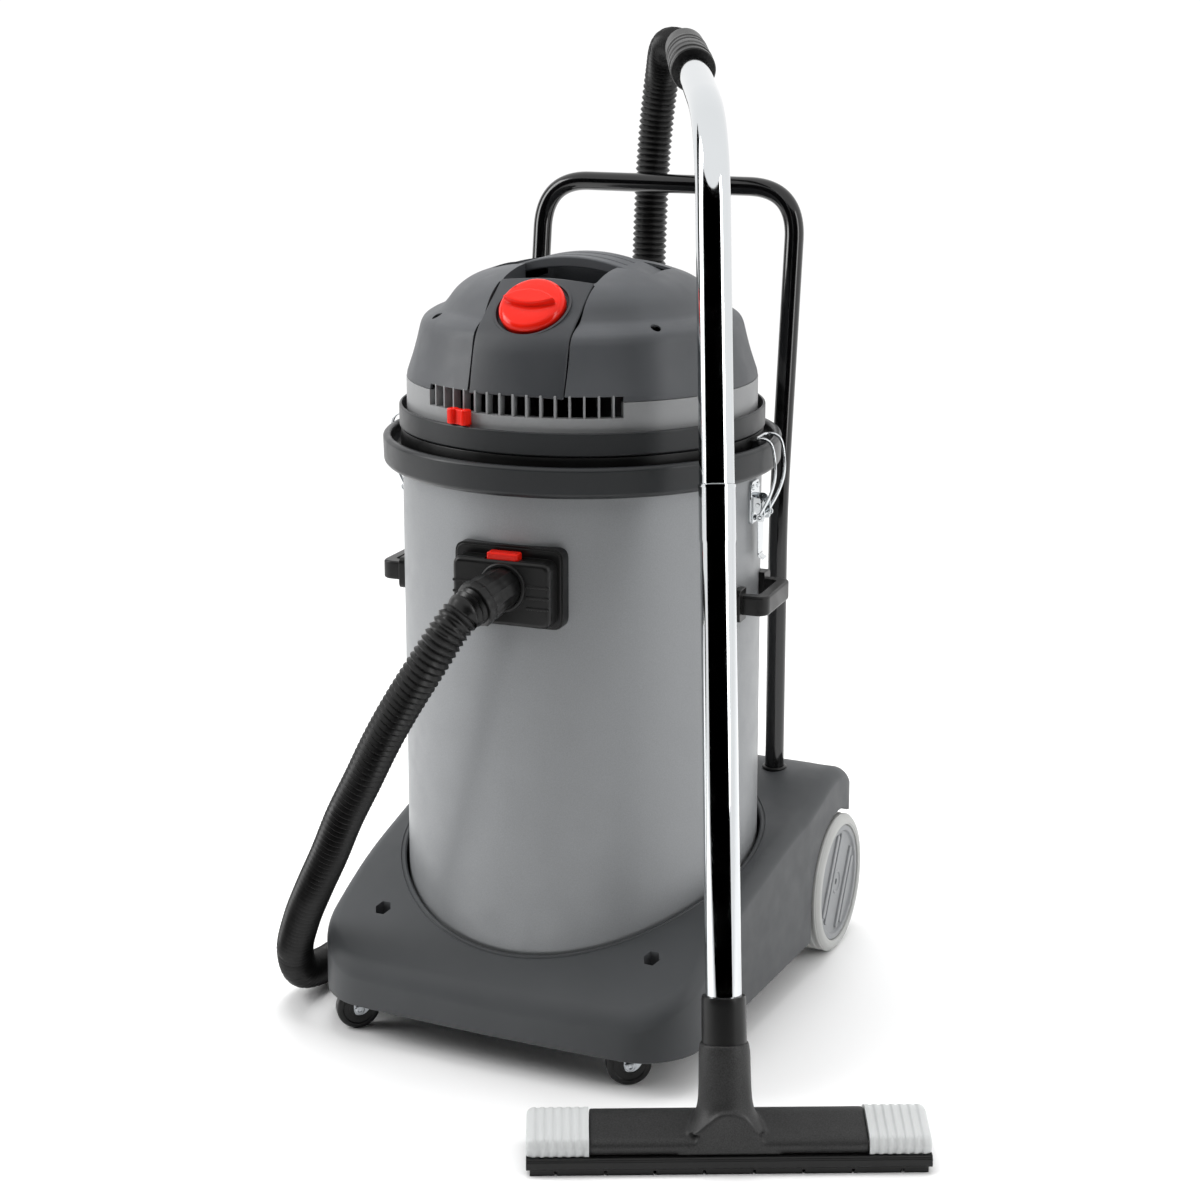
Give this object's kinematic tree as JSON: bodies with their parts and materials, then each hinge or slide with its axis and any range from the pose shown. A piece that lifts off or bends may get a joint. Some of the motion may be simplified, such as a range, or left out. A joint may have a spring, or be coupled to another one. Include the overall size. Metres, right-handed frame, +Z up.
{
  "type": "shop vacuum",
  "caption": "Upright wet and dry shop vacuum on a wheeled trolley, with a round steel drum, lift-off motor head, push handle, ribbed hose and a bent chrome wand on a floor squeegee.",
  "frame": {"origin": "on the floor, on the axis of the drum", "axes": "+Z up, the machine faces -Y, its right-hand wheel is at +X when seen from the front"},
  "size_m": [0.887, 0.9134, 1.2197],
  "materials": {
    "base_plastic": "fine-textured dark grey moulding",
    "drum_paint": "satin mid-grey paint with a fine grain",
    "ring_plastic": "dark grey, slightly satin",
    "cover_plastic": "fine-textured dark grey",
    "panel_plastic": "fine-textured darker grey",
    "band_plastic": "light grey, satin",
    "black_plastic": "black, satin",
    "red_plastic": "glossy red",
    "tyre_grey": "light grey, non-marking",
    "hub_grey": "mid grey",
    "bumper_clear": "milky translucent grey",
    "black_rubber": "black, dull",
    "chrome": "mirror chrome",
    "zinc": "bright zinc plate",
    "black_enamel": "gloss black enamel",
    "filter_cloth": "off-white filter cloth",
    "motor_steel": "bare pressed steel",
    "rotor_alloy": "machined alloy"
  },
  "bodies": {
    "machine": {"trolley_base": "base_plastic", "stub_axle_left": "zinc", "stub_axle_right": "zinc", "push_handle": "black_enamel", "handle_grommet_left": "black_rubber", "handle_grommet_right": "black_rubber", "drum_shell": "drum_paint", "rim_ring": "ring_plastic", "drum_handle_left": "black_plastic", "drum_handle_right": "black_plastic", "latch_bracket_left": "chrome", "latch_bracket_right": "chrome", "inlet_box": "black_plastic", "inlet_gasket": "black_rubber", "inlet_deflector": "black_plastic", "button_spring": "zinc", "hose_machine_cuff": "black_rubber", "hose": "black_rubber"},
    "head": {"head_gasket": "black_rubber", "head_ring": "ring_plastic", "motor_housing": "band_plastic", "top_cover": "cover_plastic", "carry_handle": "cover_plastic", "front_panel": "panel_plastic", "rotary_switch": "black_plastic", "motor_left": "motor_steel", "motor_right": "motor_steel", "float_cage": "black_plastic", "filter_basket": "filter_cloth", "cable_gland": "black_rubber"},
    "switch_knob_turning": {"switch_knob": "red_plastic"},
    "head_catch_sliding": {"head_catch": "red_plastic"},
    "float": {"float_ball": "bumper_clear"},
    "release_button": {"hose_release_button": "red_plastic"},
    "wand": {"wand_upper_tube": "chrome", "wand_lower_tube": "chrome", "wand_collar": "black_plastic", "hose_wand_cuff": "black_rubber", "floor_tool_body": "black_plastic", "tool_bumper_left": "bumper_clear", "tool_bumper_right": "bumper_clear", "strip_holder": "black_plastic", "squeegee_front": "black_rubber", "squeegee_rear": "black_rubber"},
    "caster_left": {"caster_fork_left": "zinc", "caster_axle_left": "zinc"},
    "caster_wheel_left_rolling": {"caster_wheel_left": "black_rubber"},
    "rear_wheel_left": {"rear_tyre_left": "tyre_grey", "rear_hub_left": "hub_grey"},
    "latch_lever_left_swinging": {"latch_lever_left": "chrome"},
    "latch_bail_left_swinging": {"latch_bail_left": "chrome"},
    "rotor_left": {"motor_rotor_left": "rotor_alloy"},
    "caster_right": {"caster_fork_right": "zinc", "caster_axle_right": "zinc"},
    "caster_wheel_right_rolling": {"caster_wheel_right": "black_rubber"},
    "rear_wheel_right": {"rear_tyre_right": "tyre_grey", "rear_hub_right": "hub_grey"},
    "latch_lever_right_swinging": {"latch_lever_right": "chrome"},
    "latch_bail_right_swinging": {"latch_bail_right": "chrome"},
    "rotor_right": {"motor_rotor_right": "rotor_alloy"}
  },
  "joints": [
    {"name": "caster_swivel_left", "type": "hinge", "parent": "machine", "child": "caster_left", "pos_m": [-0.184, -0.232, 0.07], "axis": [0, 0, 1], "continuous": true},
    {"name": "caster_spin_left", "type": "hinge", "parent": "caster_left", "child": "caster_wheel_left_rolling", "pos_m": [-0.19607, -0.2425, 0.027], "axis": [0.6561, -0.7547, 0], "continuous": true},
    {"name": "rear_wheel_spin_left", "type": "hinge", "parent": "machine", "child": "rear_wheel_left", "pos_m": [-0.25, 0.232, 0.092], "axis": [1, 0, 0], "continuous": true},
    {"name": "latch_lever_turn_left", "type": "hinge", "parent": "machine", "child": "latch_lever_left_swinging", "pos_m": [-0.23368, -0.01225, 0.655], "axis": [-0.0523, 0.9986, 0], "range_deg": [0, 140]},
    {"name": "latch_bail_turn_left", "type": "hinge", "parent": "latch_lever_left_swinging", "child": "latch_bail_left_swinging", "pos_m": [-0.23767, -0.01246, 0.641], "axis": [-0.0523, 0.9986, 0], "range_deg": [-168.5, 0.5]},
    {"name": "motor_spin_left", "type": "hinge", "parent": "head", "child": "rotor_left", "pos_m": [-0.09229, 0.00317, 0.8], "axis": [0, 0, 1], "continuous": true},
    {"name": "caster_swivel_right", "type": "hinge", "parent": "machine", "child": "caster_right", "pos_m": [0.184, -0.232, 0.07], "axis": [0, 0, 1], "continuous": true},
    {"name": "caster_spin_right", "type": "hinge", "parent": "caster_right", "child": "caster_wheel_right_rolling", "pos_m": [0.17043, -0.24048, 0.027], "axis": [0.5299, -0.848, 0], "continuous": true},
    {"name": "rear_wheel_spin_right", "type": "hinge", "parent": "machine", "child": "rear_wheel_right", "pos_m": [0.25, 0.232, 0.092], "axis": [1, 0, 0], "continuous": true},
    {"name": "latch_lever_turn_right", "type": "hinge", "parent": "machine", "child": "latch_lever_right_swinging", "pos_m": [0.23368, 0.01225, 0.655], "axis": [0.0523, -0.9986, 0], "range_deg": [0, 140]},
    {"name": "latch_bail_turn_right", "type": "hinge", "parent": "latch_lever_right_swinging", "child": "latch_bail_right_swinging", "pos_m": [0.23767, 0.01246, 0.641], "axis": [0.0523, -0.9986, 0], "range_deg": [-168.5, 0.5]},
    {"name": "motor_spin_right", "type": "hinge", "parent": "head", "child": "rotor_right", "pos_m": [0.09145, 0.0128, 0.8], "axis": [0, 0, 1], "continuous": true},
    {"name": "head_lift", "type": "slide", "parent": "machine", "child": "head", "axis": [0, 0, 1], "range_m": [0, 0.2]},
    {"name": "switch_turn", "type": "hinge", "parent": "head", "child": "switch_knob_turning", "pos_m": [0.00822, -0.15679, 0.903], "axis": [0.035, -0.6682, 0.7431], "range_deg": [0, 90]},
    {"name": "head_catch_slide", "type": "slide", "parent": "head", "child": "head_catch_sliding", "axis": [0, 0, 1], "range_m": [0, 0.008]},
    {"name": "float_rise", "type": "slide", "parent": "head", "child": "float", "axis": [0, 0, 1], "range_m": [0, 0.044]},
    {"name": "hose_release_press", "type": "slide", "parent": "machine", "child": "release_button", "axis": [0, 0, -1], "range_m": [0, 0.003], "stiffness_N_per_m": 600, "springref_m": -0.001, "deforming": ["button_spring"]},
    {"name": "wand_lift", "type": "slide", "parent": "machine", "child": "wand", "axis": [0, 0, 1], "range_m": [0, 0.08]}
  ],
  "couplings": [
    {"joint": "latch_bail_turn_left", "follows": "latch_lever_turn_left", "ratio": -1.2},
    {"joint": "latch_bail_turn_right", "follows": "latch_lever_turn_right", "ratio": -1.2}
  ]
}
